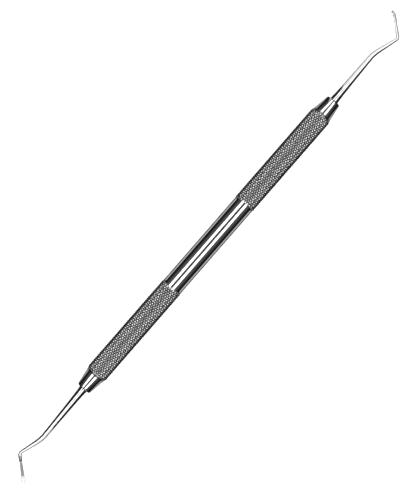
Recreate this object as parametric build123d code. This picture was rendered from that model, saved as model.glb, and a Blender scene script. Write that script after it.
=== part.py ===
"""Double-ended hand scaler: a knurled tube handle, two end plugs and two working ends.

Row frame, millimetres: the origin is the centre of the handle on its axis, +X runs along
the handle, both shanks bend in the XY plane, and the instrument lies flat along Z.
"""
from build123d import *
import math
import os

os.makedirs("parts", exist_ok=True)

# Handle tube: two knurled grips either side of a plain middle of quarter-inch stock.
# The knurl is left as the plain cylinder over its crests.
MIDDLE_RADIUS = 3.175     # plain middle
GRIP_RADIUS = 3.35        # over the crests of the knurl
RIGHT_GRIP_START = 15.85  # handle centre to the inner end of the right grip
LEFT_GRIP_START = 16.45   # and of the left grip, which is rolled a little shorter
GRIP_STEP = 0.15          # length of the bevel up from the middle to the grip
BEVEL_START = 48.75       # handle centre to the bevel at the tube's end
TUBE_END = 50.0           # handle centre to the end of the tube
TUBE_END_RADIUS = 3.0     # outside of the tube at its very end
BORE_RADIUS = 2.2         # through bore, which the plugs are pressed into
BORE_CHAMFER = 0.2        # broken edge at each mouth of the bore

# End plug: a polished cone outside the tube, a spigot inside it, a blind hole for a tang.
NOSE_END = 55.1           # handle centre to the plug's outer face
NOSE_RADIUS = 2.2         # cone at its outer face
NOSE_EDGE = 0.45          # rounding of the cone's outer edge
SPIGOT_LENGTH = 8.0       # depth of the plug inside the tube
SPIGOT_CHAMFER = 0.4      # lead-in at the spigot's inner end
TANG_RADIUS = 1.3         # tang, and the hole that it is pressed into
TANG_DEPTH = 8.6          # length of tang inside the plug
TANG_CHAMFER = 0.25       # lead-in at the tang's inner end
HOLE_DEPTH = 9.2          # full-diameter depth of the hole
DRILL_ANGLE = 118.0       # point of the drill that made the hole

# Shank: a straight taper in each of its runs, and a short flare up to the tang.
SHANK_ROOT = 2.24         # diameter at the plug, without the flare
SHANK_BEND = 1.50         # diameter at the first bend
SHANK_ELBOW = 1.00        # diameter at the elbow
FLARE_LENGTH = 2.4        # distance over which the flare falls to about a third
BEND_RADIUS = 11.0        # centre line of the first bend

# Blade: half round, with one ground flat face that ends in a small hollow spoon.
# Places along it are distances from the elbow.
BLADE_THICKNESS = 0.92    # front to back, before the face is ground
WAIST_AT = 3.1            # narrowest place, where the flat face starts
WAIST_WIDTH = 0.84        # side to side there
ROOT_WIDTH = 1.12         # side to side where the spoon begins
SPOON_WIDTH = 1.50        # side to side at the spoon's widest
SPOON_RADIUS = 1.12       # half the spoon's length
TOE_ANGLE = 12.0          # how far the spoon leans out of the flat, towards the face
FACE_HEIGHT = 0.10        # ground face above the blade's centre line
WHEEL_RADIUS = 2.2        # wheel that ground the face, and left its run-out
HOLLOW_DEPTH = 0.12       # hollow below the ground face
HOLLOW_LAND = 0.05        # narrow edge left round the hollow

# Spacing of the sections that the solids pass through.
SHANK_STEP = 0.5
BLADE_STEP = 0.35
CAP_SECTIONS = 8          # over the spoon's rounded end
CAP_END_ANGLE = 84.0      # where the last of them stands, which leaves a tiny blunt tip

# The two ends are a left and right pair, bent and ground by hand, so each has its own
# few sizes. Points are (outward, sideways) from the handle's centre.
RIGHT_END = {
    "bend": (72.84, -0.24),
    "elbow": (80.95, 2.21),
    "tip": (86.34, -4.22),
    "elbow_radius": 1.0,
    "face_turn": 40.0,
}
LEFT_END = {
    "bend": (74.15, -0.46),
    "elbow": (81.40, 1.68),
    "tip": (87.24, -5.02),
    "elbow_radius": 1.15,
    "face_turn": 0.0,
}


def turned(outline):
    """The solid of revolution about X of a closed outline of (x, radius) points."""
    return revolve(Plane.XY * make_face(Polyline(*outline, close=True)), Axis.X)


def tube_half(grip_start):
    """Outline of one half of the tube, from the middle outward, as (x, radius) points."""
    return [
        (grip_start - GRIP_STEP, MIDDLE_RADIUS),
        (grip_start, GRIP_RADIUS),
        (BEVEL_START, GRIP_RADIUS),
        (TUBE_END, TUBE_END_RADIUS),
        (TUBE_END, BORE_RADIUS + BORE_CHAMFER),
        (TUBE_END - BORE_CHAMFER, BORE_RADIUS),
    ]


def handle_tube():
    """One tube, bored through: bevelled end, grip, plain middle, grip, bevelled end."""
    right_half = tube_half(RIGHT_GRIP_START)
    left_half = [(-x, radius) for x, radius in reversed(tube_half(LEFT_GRIP_START))]
    return turned(right_half + left_half)


def end_plug(side):
    """Polished nose cone with a spigot, drilled from its outer face for the tang."""
    spigot_end = TUBE_END - SPIGOT_LENGTH
    body = turned([
        (spigot_end, 0),
        (spigot_end, BORE_RADIUS - SPIGOT_CHAMFER),
        (spigot_end + SPIGOT_CHAMFER, BORE_RADIUS),
        (TUBE_END, BORE_RADIUS),
        (TUBE_END, TUBE_END_RADIUS),
        (NOSE_END, NOSE_RADIUS),
        (NOSE_END, 0),
    ])
    outer_rim = body.edges().filter_by(GeomType.CIRCLE).group_by(Axis.X)[-1]
    body = fillet(outer_rim, NOSE_EDGE)
    drill_point = TANG_RADIUS / math.tan(math.radians(DRILL_ANGLE / 2))
    hole = turned([
        (NOSE_END - HOLE_DEPTH - drill_point, 0),
        (NOSE_END - HOLE_DEPTH, TANG_RADIUS),
        (NOSE_END, TANG_RADIUS),
        (NOSE_END, 0),
    ])
    plug = body - hole
    return plug if side > 0 else plug.rotate(Axis.Z, 180)


class WorkingEnd:
    """One tang, shank and blade in a piece; side is 1 at the +X end and -1 at the other."""

    def __init__(self, side, sizes):
        self.side = side
        self.sizes = sizes
        seat = self.place((NOSE_END, 0))
        bend = self.place(sizes["bend"])
        self.elbow = self.place(sizes["elbow"])
        tip = self.place(sizes["tip"])
        self.arm_direction = (tip - self.elbow).normalized()
        self.spoon_at = (tip - self.elbow).length - SPOON_RADIUS
        self.spoon_root = self.spoon_at - SPOON_RADIUS
        arm_end = self.elbow + self.arm_direction * self.spoon_at
        radii = [BEND_RADIUS, sizes["elbow_radius"]]
        self.line = FilletPolyline(seat, bend, self.elbow, arm_end, radius=radii)
        straight, bend_arc, reach, self.elbow_arc, arm = self.line.edges()
        self.bend_at = straight.length + bend_arc.length / 2
        self.reach_end = straight.length + bend_arc.length + reach.length
        self.neck_from_elbow = self.spoon_at - arm.length
        self.neck = self.shank_diameter(self.reach_end)

    def place(self, point):
        """The row position of an (outward, sideways) point."""
        outward, sideways = point
        return Vector(self.side * outward, -self.side * sideways, 0)

    def face_normal(self, direction):
        """The ground face's outward normal where the centre line runs along direction."""
        flat = Vector(0, 0, -self.side)
        return flat.rotate(Axis((0, 0, 0), direction), self.sizes["face_turn"])

    def shank_diameter(self, at):
        """Diameter of the round shank at a distance along the centre line."""
        if at < self.bend_at:
            share = at / self.bend_at
            taper = SHANK_ROOT + (SHANK_BEND - SHANK_ROOT) * share
        else:
            share = (at - self.bend_at) / (self.reach_end - self.bend_at)
            taper = SHANK_BEND + (SHANK_ELBOW - SHANK_BEND) * share
        flare = 2 * TANG_RADIUS - SHANK_ROOT
        return taper + flare * math.exp(-at / FLARE_LENGTH)

    def shank_section(self, at):
        """Round section at a distance along the centre line; the first faces the plug."""
        direction = self.line.tangent_at(at / self.line.length) if at else Vector(self.side, 0, 0)
        origin = self.line.position_at(at / self.line.length)
        plane = Plane(origin=origin, x_dir=self.face_normal(direction), z_dir=direction)
        return plane * Circle(self.shank_diameter(at) / 2)

    def shank(self):
        """From the plug's face, round the first bend, to where the elbow starts."""
        count = round(self.reach_end / SHANK_STEP)
        return loft([self.shank_section(self.reach_end * i / count) for i in range(count + 1)])

    def elbow_bend(self):
        """The tight second bend, of even thickness."""
        start = self.line.tangent_at(self.reach_end / self.line.length)
        turn = Axis(self.elbow_arc.arc_center, start.cross(self.arm_direction))
        angle = math.degrees(self.elbow_arc.length / self.elbow_arc.radius)
        return revolve(self.shank_section(self.reach_end), turn, angle)

    def blade_plane(self, from_elbow, above, toe=0.0):
        """Plane on the blade: X towards the tip, Z out of the ground face."""
        normal = self.face_normal(self.arm_direction)
        origin = self.elbow + self.arm_direction * from_elbow + normal * above
        flat = Plane(origin=origin, x_dir=self.arm_direction, z_dir=normal)
        return Plane(flat.location * Rot(0, -toe, 0))

    def blade_section(self, from_elbow, width, thickness):
        """Oval section of the blade before it is ground."""
        past_root = max(0, from_elbow - self.spoon_root)
        lift = past_root * math.tan(math.radians(TOE_ANGLE))
        plane = self.blade_plane(from_elbow, lift)
        across = Plane(origin=plane.origin, x_dir=plane.z_dir, z_dir=plane.x_dir)
        return across * Ellipse(thickness / 2, width / 2)

    def arm_width(self, from_elbow):
        """Side to side of the arm, without the spoon's swelling."""
        if from_elbow < WAIST_AT:
            share = (WAIST_AT - from_elbow) / (WAIST_AT - self.neck_from_elbow)
            ease = share ** 2 * (3 - 2 * share)
            return WAIST_WIDTH + (self.neck - WAIST_WIDTH) * ease
        share = (from_elbow - WAIST_AT) / (self.spoon_root - WAIST_AT)
        return WAIST_WIDTH + (ROOT_WIDTH - WAIST_WIDTH) * min(1, share) ** 2

    def blade(self):
        """The straight arm, the spoon that it swells into, and the spoon's rounded end."""
        arm_length = self.spoon_at - self.neck_from_elbow
        count = round(arm_length / BLADE_STEP)
        sections = []
        for i in range(count + 1):
            share = i / count
            at = self.neck_from_elbow + arm_length * share
            from_spoon = (self.spoon_at - at) / SPOON_RADIUS
            swell = SPOON_WIDTH * math.sqrt(max(0, 1 - from_spoon ** 2))
            width = (self.arm_width(at) ** 8 + swell ** 8) ** (1 / 8)
            thickness = self.neck + (BLADE_THICKNESS - self.neck) * share
            sections.append(self.blade_section(at, width, thickness))
        for i in range(CAP_SECTIONS):
            angle = math.radians(CAP_END_ANGLE) * (i + 1) / CAP_SECTIONS
            at = self.spoon_at + SPOON_RADIUS * math.sin(angle)
            narrow = math.cos(angle)
            sections.append(self.blade_section(at, SPOON_WIDTH * narrow, BLADE_THICKNESS * narrow))
        return loft(sections)

    def face_tool(self):
        """What the grinding wheel takes off: above the flat and the toe, and a run-out."""
        start = (Align.MIN, Align.CENTER, Align.MIN)
        above_flat = Box(self.spoon_root - WAIST_AT, 4, 4, align=start)
        wheel = Pos(0, 0, WHEEL_RADIUS) * Rot(90, 0, 0) * Cylinder(WHEEL_RADIUS, 4)
        flat = self.blade_plane(WAIST_AT, FACE_HEIGHT) * (above_flat + wheel)
        toe = self.blade_plane(self.spoon_root, FACE_HEIGHT, TOE_ANGLE) * Box(4, 4, 4, align=start)
        return flat + toe

    def hollow_tool(self):
        """Barrel-shaped stone that hollows the spoon, leaving a narrow edge round it."""
        half_width = SPOON_WIDTH / 2 - HOLLOW_LAND
        half_length = SPOON_RADIUS - HOLLOW_LAND
        radius = (half_width ** 2 + HOLLOW_DEPTH ** 2) / (2 * HOLLOW_DEPTH)
        lift = radius - HOLLOW_DEPTH
        barrel_half = half_length / math.sqrt(1 - (lift / radius) ** 2)
        upper = Rectangle(3 * barrel_half, 2 * radius, align=(Align.CENTER, Align.MIN))
        barrel = revolve(Ellipse(barrel_half, radius) & upper, Axis.X)
        toe = self.blade_plane(self.spoon_root, FACE_HEIGHT, TOE_ANGLE)
        return toe * Pos(SPOON_RADIUS, 0, lift) * barrel

    def tang(self):
        """Round peg that is pressed into the plug, chamfered at its inner end."""
        inner_end = NOSE_END - TANG_DEPTH
        peg = turned([
            (inner_end, 0),
            (inner_end, TANG_RADIUS - TANG_CHAMFER),
            (inner_end + TANG_CHAMFER, TANG_RADIUS),
            (NOSE_END, TANG_RADIUS),
            (NOSE_END, 0),
        ])
        return peg if self.side > 0 else peg.rotate(Axis.Z, 180)

    def solid(self):
        forged = self.tang() + self.shank() + self.elbow_bend() + self.blade()
        return forged - self.face_tool() - self.hollow_tool()


def main():
    nodes = {"handle_tube": handle_tube()}
    for side, name, sizes in ((1, "right", RIGHT_END), (-1, "left", LEFT_END)):
        nodes["end_plug_" + name] = end_plug(side)
        nodes["working_end_" + name] = WorkingEnd(side, sizes).solid()
    for name, shape in nodes.items():
        shape.label = name
        export_step(shape, os.path.join("parts", name + ".step"))
        print(name, len(shape.solids()), shape.is_valid, round(shape.volume, 3))


main()
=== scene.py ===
"""Double-ended hand scaler: knurled grips, polished middle and noses, shanks and spoon blades.

Lengths below are millimetres in the row frame until mesh_piece() turns them into metres.
"""
import math

import bpy
import numpy as np
from mathutils import Matrix, Vector


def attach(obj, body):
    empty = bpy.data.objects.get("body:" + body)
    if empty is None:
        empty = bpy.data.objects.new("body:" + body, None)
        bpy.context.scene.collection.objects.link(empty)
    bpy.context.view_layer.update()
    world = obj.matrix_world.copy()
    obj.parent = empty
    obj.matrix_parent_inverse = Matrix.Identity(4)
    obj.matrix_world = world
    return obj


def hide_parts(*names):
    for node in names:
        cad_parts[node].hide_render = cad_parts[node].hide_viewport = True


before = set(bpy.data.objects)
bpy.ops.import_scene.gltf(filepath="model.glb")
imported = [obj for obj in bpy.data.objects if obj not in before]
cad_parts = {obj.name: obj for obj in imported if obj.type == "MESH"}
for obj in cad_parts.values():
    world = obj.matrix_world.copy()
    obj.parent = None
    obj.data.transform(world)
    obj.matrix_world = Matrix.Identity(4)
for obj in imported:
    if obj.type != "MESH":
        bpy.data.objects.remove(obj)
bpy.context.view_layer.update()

MM = 0.001

# Handle tube.
MIDDLE_RADIUS = 3.175
GRIP_RADIUS = 3.35
RIGHT_GRIP_START = 15.85
LEFT_GRIP_START = 16.45
GRIP_STEP = 0.15
BEVEL_START = 48.75
TUBE_END = 50.0
TUBE_END_RADIUS = 3.0
BORE_RADIUS = 2.2
BORE_CHAMFER = 0.2

# Diamond knurl: two families of grooves that cross.
KNURL_COUNT = 25          # grooves of each family round the handle
KNURL_PERIOD = 1.30       # along the handle, between grooves of one family
KNURL_DEPTH = 0.27
KNURL_SLOPE = 0.92        # share of the half pitch that a groove's wall takes
KNURL_CELLS = 5           # mesh cells along half a period, each way
KNURL_FADE = 0.5          # grooves run out over this length at the plain middle
CREST_WEAR = 0.006        # how much crests differ in height
GROOVE_ROUNDING = 0.063   # rounding of a groove's bottom, as a share of its depth
WEAR_ROWS = 80            # rows of diamonds after which the crests' wear repeats

# End plug.
NOSE_END = 55.1
NOSE_RADIUS = 2.2
NOSE_EDGE = 0.45
SPIGOT_LENGTH = 8.0
SPIGOT_CHAMFER = 0.4
TANG_RADIUS = 1.3
TANG_DEPTH = 8.6
TANG_CHAMFER = 0.25
HOLE_MOUTH = 0.14         # broken edge of the hole, the fine ring round the shank

# Shank.
SHANK_ROOT = 2.24
SHANK_BEND = 1.50
SHANK_ELBOW = 1.00
FLARE_LENGTH = 2.4
BEND_RADIUS = 11.0

# Blade; places along it are distances from the elbow.
BLADE_THICKNESS = 0.92
WAIST_AT = 3.1
WAIST_WIDTH = 0.84
ROOT_WIDTH = 1.12
SPOON_WIDTH = 1.50
SPOON_RADIUS = 1.12
TOE_ANGLE = 12.0
FACE_HEIGHT = 0.10
WHEEL_RADIUS = 2.2
HOLLOW_DEPTH = 0.12
HOLLOW_LAND = 0.05

RIGHT_END = {
    "bend": (72.84, -0.24),
    "elbow": (80.95, 2.21),
    "tip": (86.34, -4.22),
    "elbow_radius": 1.0,
    "face_turn": 40.0,
}
LEFT_END = {
    "bend": (74.15, -0.46),
    "elbow": (81.40, 1.68),
    "tip": (87.24, -5.02),
    "elbow_radius": 1.15,
    "face_turn": 0.0,
}

LATHE_SEGMENTS = 160
ROUND_STEPS = 6           # mesh steps round a rounded corner of a turned outline


# ---------------------------------------------------------------- materials

def new_material(name):
    material = bpy.data.materials.new(name)
    material.use_nodes = True
    nodes = material.node_tree.nodes
    return material, nodes, material.node_tree.links, nodes["Principled BSDF"]


def add_node(nodes, kind, **values):
    """A node of a kind with its plain properties and, by socket name, its inputs set."""
    node = nodes.new(kind)
    for key, value in values.items():
        if key in node.inputs:
            node.inputs[key].default_value = value
        else:
            setattr(node, key, value)
    return node


def steel(name, colour, roughness, spread, streak_scale, streak_bump, groove_painted_shade=None):
    """Steel with fine finishing streaks, faint smudges and tiny tone changes.

    streak_scale stretches the streak noise along each axis of the object; spread is how far
    the roughness wanders either side of its middle. The last argument darkens the steel where
    the mesh's own groove value is 1: painted shade in the knurl's grooves and in the bore.
    """
    material, nodes, links, shader = new_material(name)
    shader.inputs["Metallic"].default_value = 1.0
    place = add_node(nodes, "ShaderNodeTexCoord")
    stretch = add_node(nodes, "ShaderNodeMapping")
    stretch.inputs["Scale"].default_value = streak_scale
    links.new(place.outputs["Object"], stretch.inputs["Vector"])
    streaks = add_node(nodes, "ShaderNodeTexNoise", Scale=1.0, Detail=3.0, Roughness=0.6)
    links.new(stretch.outputs["Vector"], streaks.inputs["Vector"])
    smudges = add_node(nodes, "ShaderNodeTexNoise", Scale=260.0, Detail=4.0, Roughness=0.55)
    links.new(place.outputs["Object"], smudges.inputs["Vector"])

    mixed = add_node(nodes, "ShaderNodeMath", operation="ADD")
    links.new(streaks.outputs["Fac"], mixed.inputs[0])
    links.new(smudges.outputs["Fac"], mixed.inputs[1])
    rough = add_node(nodes, "ShaderNodeMapRange")
    rough.inputs["From Min"].default_value = 0.6
    rough.inputs["From Max"].default_value = 1.4
    rough.inputs["To Min"].default_value = roughness - spread
    rough.inputs["To Max"].default_value = roughness + spread
    links.new(mixed.outputs["Value"], rough.inputs["Value"])
    links.new(rough.outputs["Result"], shader.inputs["Roughness"])

    tone = add_node(nodes, "ShaderNodeValToRGB")
    tone.color_ramp.elements[0].position = 0.3
    tone.color_ramp.elements[1].position = 0.7
    tone.color_ramp.elements[0].color = (*[c * 0.95 for c in colour], 1.0)
    tone.color_ramp.elements[1].color = (*colour, 1.0)
    links.new(smudges.outputs["Fac"], tone.inputs["Fac"])
    if groove_painted_shade is None:
        links.new(tone.outputs["Color"], shader.inputs["Base Color"])
    else:
        # the mesh's groove value says where the steel takes painted shade
        groove = add_node(nodes, "ShaderNodeAttribute", attribute_name="groove")
        shade = add_node(nodes, "ShaderNodeMapRange")
        shade.inputs["To Min"].default_value = 1.0
        shade.inputs["To Max"].default_value = groove_painted_shade
        links.new(groove.outputs["Fac"], shade.inputs["Value"])
        shaded = add_node(nodes, "ShaderNodeVectorMath", operation="SCALE")
        links.new(tone.outputs["Color"], shaded.inputs[0])
        links.new(shade.outputs["Result"], shaded.inputs["Scale"])
        links.new(shaded.outputs["Vector"], shader.inputs["Base Color"])

    bump = add_node(nodes, "ShaderNodeBump", Strength=streak_bump, Distance=0.00001)
    links.new(streaks.outputs["Fac"], bump.inputs["Height"])
    links.new(bump.outputs["Normal"], shader.inputs["Normal"])
    return material


# name, colour, roughness, spread, streak scale, streak bump
POLISHED = steel("polished_steel", (0.66, 0.66, 0.67), 0.045, 0.015, (9000.0, 300.0, 300.0), 0.10)
# knurled steel with painted shade in its grooves and bore, darkest at a groove's bottom
KNURLED = steel(
    "knurled_steel", (0.80, 0.80, 0.81), 0.22, 0.04, (2500.0, 2500.0, 2500.0), 0.15,
    groove_painted_shade=0.14,
)
INSTRUMENT = steel("instrument_steel", (0.62, 0.62, 0.63), 0.12, 0.025, (900.0, 5000.0, 5000.0), 0.15)
SATIN = steel("satin_steel", (0.34, 0.34, 0.35), 0.22, 0.05, (1500.0, 7000.0, 7000.0), 0.3)
BRIGHT = steel("bright_satin_steel", (0.70, 0.70, 0.71), 0.42, 0.04, (3000.0, 3000.0, 3000.0), 0.2)
GROUND = steel("ground_steel", (0.36, 0.36, 0.37), 0.36, 0.05, (16000.0, 900.0, 900.0), 0.4)


# ---------------------------------------------------------------- mesh helpers

def mesh_piece(name, points, faces, materials, face_material=None, sharp_degrees=35.0):
    """An object from millimetre points, smooth but for edges sharper than the angle."""
    mesh = bpy.data.meshes.new(name)
    mesh.from_pydata((np.asarray(points, float) * MM).tolist(), [], faces)
    for material in materials:
        mesh.materials.append(material)
    if face_material is not None:
        mesh.polygons.foreach_set("material_index", face_material)
    mesh.polygons.foreach_set("use_smooth", [True] * len(mesh.polygons))
    mesh.set_sharp_from_angle(angle=math.radians(sharp_degrees))
    mesh.validate()
    mesh.update()
    piece = bpy.data.objects.new(name, mesh)
    bpy.context.scene.collection.objects.link(piece)
    return piece


def rounded_outline(corners):
    """Closed outline of (x, radius, rounding) corners, as (x, radius) points."""
    points = []
    for i, (x, r, rounding) in enumerate(corners):
        corner = np.array((x, r))
        if not rounding:
            points.append(corner)
            continue
        before = np.array(corners[i - 1][:2]) - corner
        after = np.array(corners[(i + 1) % len(corners)][:2]) - corner
        before = before / np.linalg.norm(before)
        after = after / np.linalg.norm(after)
        half = math.acos(float(before @ after)) / 2
        reach = rounding / math.tan(half)
        centre = corner + (before + after) / np.linalg.norm(before + after) * rounding / math.sin(half)
        start = corner + before * reach - centre
        end = corner + after * reach - centre
        sweep = math.pi - 2 * half
        for k in range(ROUND_STEPS + 1):
            share = k / ROUND_STEPS
            a = math.sin((1 - share) * sweep) / math.sin(sweep)
            b = math.sin(share * sweep) / math.sin(sweep)
            points.append(centre + a * start + b * end)
    return points


def ring_faces(rows, columns, closed_rows=False):
    """Quads between rings of points; the rings close, and closed_rows joins last to first."""
    faces = []
    for i in range(rows if closed_rows else rows - 1):
        following = (i + 1) % rows
        for j in range(columns):
            after = (j + 1) % columns
            faces.append((
                i * columns + j,
                i * columns + after,
                following * columns + after,
                following * columns + j,
            ))
    return faces


def turned_points(outline, segments):
    """Points of a closed outline turned about X, ring by ring."""
    turn = np.arange(segments) * 2 * math.pi / segments
    around, up = np.sin(turn), np.cos(turn)
    rings = [np.stack([np.full(segments, x), r * around, r * up], 1) for x, r in outline]
    return np.concatenate(rings)


def turned_piece(name, corners, material, side=1):
    """A turned ring-shaped part; side -1 turns it end for end, to the left of the handle."""
    outline = rounded_outline(corners)
    points = turned_points(outline, LATHE_SEGMENTS)
    points[:, :2] *= side
    faces = ring_faces(len(outline), LATHE_SEGMENTS, closed_rows=True)
    return mesh_piece(name, points, faces, [material])


# ---------------------------------------------------------------- handle

def crest_radius(x, grip_start):
    """Outside radius of a grip over its crests, x measured outward from the handle's centre."""
    places = (grip_start - GRIP_STEP, grip_start, BEVEL_START, TUBE_END)
    return np.interp(x, places, (MIDDLE_RADIUS, GRIP_RADIUS, GRIP_RADIUS, TUBE_END_RADIUS))


def knurled_grip(name, side, grip_start, seed):
    """A grip with real diamond grooves; its mesh diagonals follow them.

    Each point keeps a groove value, 0 on a crest and 1 at a groove's bottom and all over the
    bore, that the steel is darkened by: painted shade in the grooves and the bore.
    """
    cell = KNURL_PERIOD / 2 / KNURL_CELLS
    first = math.ceil(grip_start / cell)
    last = math.floor(TUBE_END / cell - 0.35)
    rows = np.arange(first, last + 1)
    columns = 2 * KNURL_COUNT * KNURL_CELLS
    x = np.concatenate([[grip_start - GRIP_STEP], rows * cell, [TUBE_END]])
    turn = np.arange(columns) * 2 * math.pi / columns
    along = x[:, None] / KNURL_PERIOD
    around = KNURL_COUNT * turn[None, :] / (2 * math.pi)
    right_hand = np.abs((along + around + 0.5) % 1 - 0.5)
    left_hand = np.abs((along - around + 0.5) % 1 - 0.5)
    wall = np.minimum(right_hand, left_hand) / (0.5 * KNURL_SLOPE)
    rounded = np.sqrt(np.clip(1 - wall, 0, 1) ** 2 + 0.004)
    depth = KNURL_DEPTH * rounded - KNURL_DEPTH * GROOVE_ROUNDING
    fade = np.clip((x - grip_start) / KNURL_FADE, 0, 1)[:, None]
    # painted shade: 1 deep in a groove, 0 on a crest, faded out towards the plain middle
    groove_painted_shade_mask = np.clip(1 - wall, 0, 1) * fade
    depth = np.maximum(depth, 0) * fade

    noise = np.random.RandomState(seed)
    diamonds = noise.uniform(0, 1, (WEAR_ROWS, 2 * KNURL_COUNT))
    row_of = np.floor(along * 2 + 0.5).astype(int) % WEAR_ROWS
    column_of = np.floor(around * 2 + 0.5).astype(int) % (2 * KNURL_COUNT)
    wear = CREST_WEAR * diamonds[row_of, column_of] * np.clip(wall, 0, 1) * fade
    radius = np.minimum(GRIP_RADIUS - depth - wear, crest_radius(x, grip_start)[:, None])

    outer = np.stack([
        np.broadcast_to(x[:, None], radius.shape),
        radius * np.sin(turn),
        radius * np.cos(turn),
    ], 2).reshape(-1, 3)
    bore = [
        (TUBE_END, BORE_RADIUS + BORE_CHAMFER),
        (TUBE_END - BORE_CHAMFER, BORE_RADIUS),
        (grip_start - GRIP_STEP, BORE_RADIUS),
    ]
    points = np.concatenate([outer, turned_points(bore, columns)])
    points[:, :2] *= side

    faces = []
    outer_rows = len(x)
    for i in range(outer_rows - 1):
        row_block = (first + i - 1) // KNURL_CELLS
        for j in range(columns):
            after = (j + 1) % columns
            a, b = i * columns + j, i * columns + after
            c, d = (i + 1) * columns + after, (i + 1) * columns + j
            if (row_block + j // KNURL_CELLS) % 2:
                faces += [(a, b, d), (b, c, d)]
            else:
                faces += [(a, b, c), (a, c, d)]
    quads = ring_faces(outer_rows + len(bore), columns, closed_rows=True)
    faces += quads[(outer_rows - 1) * columns:]
    piece = mesh_piece(name, points, faces, [KNURLED], sharp_degrees=180.0)
    groove = piece.data.attributes.new("groove", "FLOAT", "POINT")
    # the bore is painted fully in shade
    shading = np.concatenate([groove_painted_shade_mask.ravel(), np.ones(len(bore) * columns)])
    groove.data.foreach_set("value", shading)
    return piece


middle = turned_piece("handle_middle", [
    (GRIP_STEP - LEFT_GRIP_START, BORE_RADIUS, 0),
    (GRIP_STEP - LEFT_GRIP_START, MIDDLE_RADIUS, 0),
    (RIGHT_GRIP_START - GRIP_STEP, MIDDLE_RADIUS, 0),
    (RIGHT_GRIP_START - GRIP_STEP, BORE_RADIUS, 0),
], POLISHED)
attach(middle, "root")
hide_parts("handle_tube")

for side, name, grip_start in ((1, "right", RIGHT_GRIP_START), (-1, "left", LEFT_GRIP_START)):
    grip = knurled_grip("grip_" + name, side, grip_start, seed=5 + side)
    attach(grip, "root")
    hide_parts("handle_tube")

    spigot_end = TUBE_END - SPIGOT_LENGTH
    nose = turned_piece("nose_" + name, [
        (spigot_end, TANG_RADIUS, 0),
        (spigot_end, BORE_RADIUS - SPIGOT_CHAMFER, 0),
        (spigot_end + SPIGOT_CHAMFER, BORE_RADIUS, 0),
        (TUBE_END, BORE_RADIUS, 0),
        (TUBE_END, TUBE_END_RADIUS, 0.03),
        (NOSE_END, NOSE_RADIUS, NOSE_EDGE),
        (NOSE_END, TANG_RADIUS + HOLE_MOUTH, 0.03),
        (NOSE_END - HOLE_MOUTH, TANG_RADIUS, 0),
    ], POLISHED, side)
    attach(nose, "root")
    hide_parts("end_plug_" + name)


# ---------------------------------------------------------------- working ends

FACE_COLUMNS = 10         # mesh cells each side of the blade's middle, across the face
BACK_COLUMNS = 44         # mesh cells round the rest
FACE_LANDS = 2            # of the face's cells, those outside the hollow
SHORT_STEP = 0.05
LONG_STEP = 0.2
CAP_STEPS = 26
CAP_END_ANGLE = 88.0      # degrees round the spoon's end to its last, tiny ring
SATIN_BACK = 3            # of the back's cells, those each side that the satin finish takes
LEAST_FACE_ANGLE = 12.0   # half width of the face's columns where nothing is ground
UNGROUND = 9.0            # a face height above any section, so that nothing is ground
SEAT_RING = 0.2           # last ring of the tang, this far inside the plug's mouth
BLEND_POWER = 8           # how sharply the arm's width gives way to the spoon's swell

# Finish of a ring, in the order of a working end's materials; a ring over the hollow has
# the ground finish outside the hollow and the bright one in it.
POLISHED_RING, SATIN_RING, GROUND_RING, HOLLOW_RING = range(4)


def arc_points(before, corner, after, radius, step):
    """Start, points between and end of the rounding at a corner, with their directions."""
    into = (corner - before) / np.linalg.norm(corner - before)
    out = (after - corner) / np.linalg.norm(after - corner)
    turn = math.acos(float(into @ out))
    reach = radius * math.tan(turn / 2)
    sign = 1 if into[0] * out[1] - into[1] * out[0] > 0 else -1
    centre = corner - into * reach + sign * radius * np.array((-into[1], into[0]))
    count = max(6, round(radius * turn / step))
    for k in range(count + 1):
        angle = sign * turn * k / count
        cos, sin = math.cos(angle), math.sin(angle)
        direction = np.array((cos * into[0] - sin * into[1], sin * into[0] + cos * into[1]))
        yield centre - sign * radius * np.array((-direction[1], direction[0])), direction


def run_points(start, end, step):
    """Points strictly between two places on a straight run, with its direction."""
    length = np.linalg.norm(end - start)
    direction = (end - start) / length
    count = max(2, round(length / step))
    for k in range(1, count):
        yield start + direction * length * k / count, direction


def shank_stations(seat, bend, elbow, tip, elbow_radius):
    """(place, direction, diameter) from the nose to the end of the elbow."""
    first = list(arc_points(seat, bend, elbow, BEND_RADIUS, LONG_STEP))
    second = list(arc_points(bend, elbow, tip, elbow_radius, SHORT_STEP))
    line = [(seat, np.array((1.0, 0.0)))]
    line += list(run_points(seat, first[0][0], LONG_STEP)) + first
    line += list(run_points(first[-1][0], second[0][0], LONG_STEP)) + second
    places = np.array([place for place, _ in line])
    distances = np.concatenate([[0], np.cumsum(np.linalg.norm(np.diff(places, axis=0), axis=1))])
    middle_of_bend = distances[len(line) - len(second) - 1]
    straight = np.linalg.norm(first[0][0] - seat)
    bend_length = BEND_RADIUS * math.acos(float(first[0][1] @ first[-1][1]))
    bend_at = straight + bend_length / 2
    reach_end = distances[len(line) - len(second)]
    stations = []
    for (place, direction), at in zip(line, distances):
        if at < bend_at:
            taper = SHANK_ROOT + (SHANK_BEND - SHANK_ROOT) * at / bend_at
        else:
            share = min(1, (at - bend_at) / (reach_end - bend_at))
            taper = SHANK_BEND + (SHANK_ELBOW - SHANK_BEND) * share
        flare = (2 * TANG_RADIUS - SHANK_ROOT) * math.exp(-at / FLARE_LENGTH)
        stations.append((place, direction, taper + flare))
    return stations


def smooth_share(share):
    return share * share * (3 - 2 * share)


def arm_width(at, neck_at, root_at):
    if at < WAIST_AT:
        ease = smooth_share((WAIST_AT - at) / (WAIST_AT - neck_at))
        return WAIST_WIDTH + (SHANK_ELBOW - WAIST_WIDTH) * ease
    share = min(1, (at - WAIST_AT) / (root_at - WAIST_AT))
    return WAIST_WIDTH + (ROOT_WIDTH - WAIST_WIDTH) * share ** 2


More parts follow.
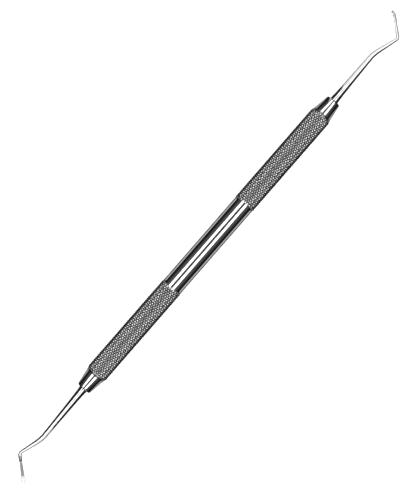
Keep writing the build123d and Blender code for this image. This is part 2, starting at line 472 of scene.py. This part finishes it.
def face_height(at):
    """Ground face above the blade's centre line, with the wheel's run-out before the waist."""
    if at >= WAIST_AT:
        return FACE_HEIGHT
    back = min(WAIST_AT - at, WHEEL_RADIUS)
    return FACE_HEIGHT + WHEEL_RADIUS - math.sqrt(WHEEL_RADIUS ** 2 - back ** 2)


def hollow_section(from_root):
    """(radius, lift, half width) of the hollowing barrel where it crosses the spoon."""
    half_width = SPOON_WIDTH / 2 - HOLLOW_LAND
    half_length = SPOON_RADIUS - HOLLOW_LAND
    radius = (half_width ** 2 + HOLLOW_DEPTH ** 2) / (2 * HOLLOW_DEPTH)
    lift = radius - HOLLOW_DEPTH
    barrel_half = half_length / math.sqrt(1 - (lift / radius) ** 2)
    along = from_root / math.cos(math.radians(TOE_ANGLE)) - SPOON_RADIUS
    here = radius * math.sqrt(max(0, 1 - (along / barrel_half) ** 2))
    return here, lift, math.sqrt(max(0, here ** 2 - lift ** 2))


def section(width, thickness, height, from_root):
    """(above, across) points of one ring, the face's columns first, then round the back."""
    half_w, half_t = width / 2, thickness / 2
    edge_angle = math.acos(min(1, height / half_t))
    edge_angle = max(edge_angle, math.radians(LEAST_FACE_ANGLE))
    edge = half_w * math.sin(edge_angle)
    here, lift, hollow_half = hollow_section(from_root)
    inner = min(max(hollow_half, 0.35 * edge), 0.93 * edge)
    whole = FACE_COLUMNS - FACE_LANDS
    points = []
    for k in range(-FACE_COLUMNS, FACE_COLUMNS + 1):
        size = abs(k)
        if size <= whole:
            across = inner * size / whole
        else:
            across = inner + (edge - inner) * (size - whole) / FACE_LANDS
        above = min(half_t * math.sqrt(max(0, 1 - (across / half_w) ** 2)), height)
        if from_root > 0 and here > across:
            above -= max(0, math.sqrt(here ** 2 - across ** 2) - lift)
        points.append((above, math.copysign(across, k)))
    for k in range(1, BACK_COLUMNS):
        angle = edge_angle + (2 * math.pi - 2 * edge_angle) * k / BACK_COLUMNS
        points.append((half_t * math.cos(angle), half_w * math.sin(angle)))
    return points


def working_end(name, side, sizes):
    """Tang, shank and blade in one skin of rings."""
    seat = np.array((NOSE_END, 0.0))
    bend, elbow, tip = (np.array(sizes[key]) for key in ("bend", "elbow", "tip"))
    arm = (tip - elbow) / np.linalg.norm(tip - elbow)
    spoon_at = np.linalg.norm(tip - elbow) - SPOON_RADIUS
    root_at = spoon_at - SPOON_RADIUS
    outward = np.array((1.0, 0.0))
    rings = []
    finish = []

    def add_ring(place, direction, width, thickness, height, from_root=-1.0, lift=0.0, satin=False):
        origin = Vector((side * place[0], -side * place[1], 0.0))
        along = Vector((side * direction[0], -side * direction[1], 0.0))
        flat = Vector((0.0, 0.0, -float(side)))
        normal = Matrix.Rotation(math.radians(sizes["face_turn"]), 3, along) @ flat
        across = along.cross(normal)
        origin += normal * lift
        for above, beside in section(width, thickness, height, from_root):
            rings.append(origin + normal * above + across * beside)
        if from_root > 0:
            finish.append(HOLLOW_RING)
        elif height < thickness / 2:
            finish.append(GROUND_RING)
        else:
            finish.append(SATIN_RING if satin else POLISHED_RING)

    tang_end = NOSE_END - TANG_DEPTH
    for x, radius in (
        (tang_end, TANG_RADIUS - TANG_CHAMFER),
        (tang_end + TANG_CHAMFER, TANG_RADIUS),
        (NOSE_END - SEAT_RING, TANG_RADIUS),
    ):
        add_ring((x, 0.0), outward, 2 * radius, 2 * radius, UNGROUND)
    for place, direction, diameter in shank_stations(seat, bend, elbow, tip, sizes["elbow_radius"]):
        add_ring(place, direction, diameter, diameter, UNGROUND)

    turn = math.acos(float((elbow - bend) @ arm / np.linalg.norm(elbow - bend)))
    neck_at = sizes["elbow_radius"] * math.tan(turn / 2)
    count = round((spoon_at - neck_at) / SHORT_STEP)
    for i in range(1, count + 1):
        share = i / count
        at = neck_at + (spoon_at - neck_at) * share
        swell = SPOON_WIDTH * math.sqrt(max(0, 1 - ((spoon_at - at) / SPOON_RADIUS) ** 2))
        arm_here = arm_width(at, neck_at, root_at)
        width = (arm_here ** BLEND_POWER + swell ** BLEND_POWER) ** (1 / BLEND_POWER)
        thickness = SHANK_ELBOW + (BLADE_THICKNESS - SHANK_ELBOW) * share
        from_root = at - root_at
        lift = max(0, from_root) * math.tan(math.radians(TOE_ANGLE))
        add_ring(
            elbow + arm * at, arm, width, thickness, face_height(at), from_root, lift,
            satin=at < WAIST_AT,
        )
    for i in range(1, CAP_STEPS + 1):
        angle = math.radians(CAP_END_ANGLE) * i / CAP_STEPS
        at = spoon_at + SPOON_RADIUS * math.sin(angle)
        narrow = math.cos(angle)
        from_root = at - root_at
        lift = from_root * math.tan(math.radians(TOE_ANGLE))
        add_ring(
            elbow + arm * at, arm, SPOON_WIDTH * narrow, BLADE_THICKNESS * narrow,
            FACE_HEIGHT, from_root, lift,
        )

    columns = 2 * FACE_COLUMNS + BACK_COLUMNS
    rows = len(rings) // columns
    faces = ring_faces(rows, columns)
    face_material = []
    for i in range(rows - 1):
        here = min(finish[i], finish[i + 1])
        for j in range(columns):
            in_hollow = FACE_LANDS <= j < 2 * FACE_COLUMNS - FACE_LANDS
            if here == HOLLOW_RING and in_hollow:
                face_material.append(HOLLOW_RING)
            elif j < 2 * FACE_COLUMNS:
                face_material.append(min(here, GROUND_RING))
            elif here and SATIN_BACK < j - 2 * FACE_COLUMNS < BACK_COLUMNS - SATIN_BACK:
                face_material.append(POLISHED_RING)
            else:
                face_material.append(min(here, SATIN_RING))
    faces.append(tuple(range(columns)))
    faces.append(tuple(range((rows - 1) * columns, rows * columns))[::-1])
    face_material += [POLISHED_RING, POLISHED_RING]
    finishes = [INSTRUMENT, SATIN, GROUND, BRIGHT]
    return mesh_piece(name, rings, faces, finishes, face_material, sharp_degrees=28.0)


for side, name, sizes in ((1, "right", RIGHT_END), (-1, "left", LEFT_END)):
    end = working_end("shank_and_blade_" + name, side, sizes)
    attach(end, "root")
    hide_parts("working_end_" + name)


# ---------------------------------------------------------------- floor, light and camera

FLOOR_Z = -GRIP_RADIUS - 0.02
floor_mesh = bpy.data.meshes.new("floor")
FLOOR_HALF = 3000.0
floor_corners = ((-1, -1), (1, -1), (1, 1), (-1, 1))
floor_mesh.from_pydata(
    [(x * FLOOR_HALF * MM, y * FLOOR_HALF * MM, FLOOR_Z * MM) for x, y in floor_corners],
    [], [(0, 1, 2, 3)],
)
floor = bpy.data.objects.new("floor", floor_mesh)
bpy.context.scene.collection.objects.link(floor)
floor_material, _, _, floor_shader = new_material("pale_floor")
floor_shader.inputs["Base Color"].default_value = (0.92, 0.92, 0.92, 1.0)
floor_shader.inputs["Roughness"].default_value = 0.9
floor_shader.inputs["Specular IOR Level"].default_value = 0.0
floor_shader.inputs["Emission Color"].default_value = (1.0, 1.0, 1.0, 1.0)
floor_shader.inputs["Emission Strength"].default_value = 0.75
floor_mesh.materials.append(floor_material)
floor.visible_glossy = False

# What the steel sees beside it: pale bounce cards on the floor either side of the cones and
# the plain middle, and the dark of the room beside the grips and the shanks' roots. Each is
# (from x, to x, from y, to y, light).
BOUNCE_CARDS = (
    (-16.4, 15.8, 8.2, 25.0, 0.60),
    (50.0, 56.3, 3.2, 120.0, 0.45),
    (-56.3, -50.0, 3.2, 120.0, 0.45),
)
# Low white cards that stand beside the shanks and beyond the right blade. They light one
# side of those thin parts: (foot at one end, foot at the other, top, light).
SIDE_CARDS = (
    ((62.5, 15.0), (96.0, 15.0), 13.0, 1.2),
    ((-96.0, -15.0), (-72.5, -15.0), 13.0, 0.7),
    ((97.0, -15.0), (135.0, -15.0), 13.0, 0.7),
    ((100.0, -1.6), (100.0, 8.0), 16.0, 1.1),
)


def light_card(name, corners, light):
    """A card that lights the steel's reflections and is never seen itself."""
    mesh = bpy.data.meshes.new(name)
    faces = [tuple(range(i, i + 4)) for i in range(0, len(corners), 4)]
    mesh.from_pydata([tuple(c * MM for c in corner) for corner in corners], [], faces)
    material, nodes, links, _ = new_material(name)
    glow = add_node(nodes, "ShaderNodeEmission", Color=(1.0, 1.0, 1.0, 1.0), Strength=light)
    links.new(glow.outputs["Emission"], nodes["Material Output"].inputs["Surface"])
    mesh.materials.append(material)
    card = bpy.data.objects.new(name, mesh)
    bpy.context.scene.collection.objects.link(card)
    card.visible_camera = False
    card.visible_diffuse = False
    card.visible_shadow = False


card_z = -GRIP_RADIUS - 0.01
for i, (x0, x1, y0, y1, light) in enumerate(BOUNCE_CARDS):
    outline = []
    for sign in (1, -1):
        outline += [(x, sign * y, card_z) for x, y in ((x0, y0), (x1, y0), (x1, y1), (x0, y1))]
    light_card("bounce_card_%d" % i, outline, light)
for i, (foot, other_foot, top, light) in enumerate(SIDE_CARDS):
    outline = [(*foot, card_z), (*other_foot, card_z), (*other_foot, top), (*foot, top)]
    light_card("side_card_%d" % i, outline, light)

# Two long softboxes over the handle, one each side of the camera.
BOX_HEIGHT = 600.0
BOX_LENGTH = 950.0
BOX_INNER = 12.2          # degrees from straight up to a softbox's inner edge
BOX_OUTER = 34.8          # and to its outer edge
BOX_RADIANCE = 3.2
near = BOX_HEIGHT * math.tan(math.radians(BOX_INNER))
far = BOX_HEIGHT * math.tan(math.radians(BOX_OUTER))
for side in (1, -1):
    light = bpy.data.lights.new("softbox", "AREA")
    light.shape = "RECTANGLE"
    light.size = BOX_LENGTH * MM
    light.size_y = (far - near) * MM
    light.energy = BOX_RADIANCE * math.pi * light.size * light.size_y
    lamp = bpy.data.objects.new("softbox", light)
    lamp.location = (0.0, side * (near + far) / 2 * MM, BOX_HEIGHT * MM)
    lamp.visible_camera = False
    bpy.context.scene.collection.objects.link(lamp)

# The room: dark at the height of the object, grey above and pale below.
world = bpy.data.worlds.new("room")
bpy.context.scene.world = world
world.use_nodes = True
nodes, links = world.node_tree.nodes, world.node_tree.links
nodes.clear()
place = add_node(nodes, "ShaderNodeTexCoord")
split = add_node(nodes, "ShaderNodeSeparateXYZ")
links.new(place.outputs["Generated"], split.inputs["Vector"])
level = add_node(nodes, "ShaderNodeMapRange")
level.inputs["From Min"].default_value = -1.0
level.inputs["From Max"].default_value = 1.0
links.new(split.outputs["Z"], level.inputs["Value"])
ramp = add_node(nodes, "ShaderNodeValToRGB")
ROOM = ((-1.0, 0.03), (-0.2, 0.02), (0.05, 0.004), (0.2, 0.02), (0.68, 0.13), (0.95, 0.12), (1.0, 0.09))
while len(ramp.color_ramp.elements) < len(ROOM):
    ramp.color_ramp.elements.new(0.5)
for element, (height, grey) in zip(ramp.color_ramp.elements, ROOM):
    element.position = (height + 1) / 2
    element.color = (grey, grey, grey, 1.0)
links.new(level.outputs["Result"], ramp.inputs["Fac"])
room_light = add_node(nodes, "ShaderNodeBackground", Strength=1.0)
links.new(ramp.outputs["Color"], room_light.inputs["Color"])
backdrop = add_node(nodes, "ShaderNodeBackground", Color=(1.0, 1.0, 1.0, 1.0), Strength=1.0)
ray = add_node(nodes, "ShaderNodeLightPath")
mix = add_node(nodes, "ShaderNodeMixShader")
links.new(ray.outputs["Is Camera Ray"], mix.inputs["Fac"])
links.new(room_light.outputs["Background"], mix.inputs[1])
links.new(backdrop.outputs["Background"], mix.inputs[2])
out = add_node(nodes, "ShaderNodeOutputWorld")
links.new(mix.outputs["Shader"], out.inputs["Surface"])

scene = bpy.context.scene
scene.view_settings.view_transform = "Standard"
scene.view_settings.look = "None"

# Straight down on the instrument, which lies across the frame from low left to high right.
LENS = 102.0
SENSOR = 36.0
FRAME_HEIGHT = 141.17     # millimetres of the object's plane from top to bottom
RIGHT = Vector((0.6563, -0.7545, 0.0)).normalized()
UP = Vector((-RIGHT.y, RIGHT.x, 0.0))
AIM = RIGHT * -0.194 + UP * 0.191
camera_data = bpy.data.cameras.new("camera")
camera_data.lens = LENS
camera_data.sensor_width = SENSOR
camera_data.clip_start = 0.05
camera_data.clip_end = 20.0
camera = bpy.data.objects.new("camera", camera_data)
turn = Matrix((RIGHT, UP, Vector((0.0, 0.0, 1.0)))).transposed().to_4x4()
height = FRAME_HEIGHT * LENS / SENSOR
camera.matrix_world = Matrix.Translation((AIM + Vector((0.0, 0.0, height))) * MM) @ turn
scene.collection.objects.link(camera)
scene.camera = camera
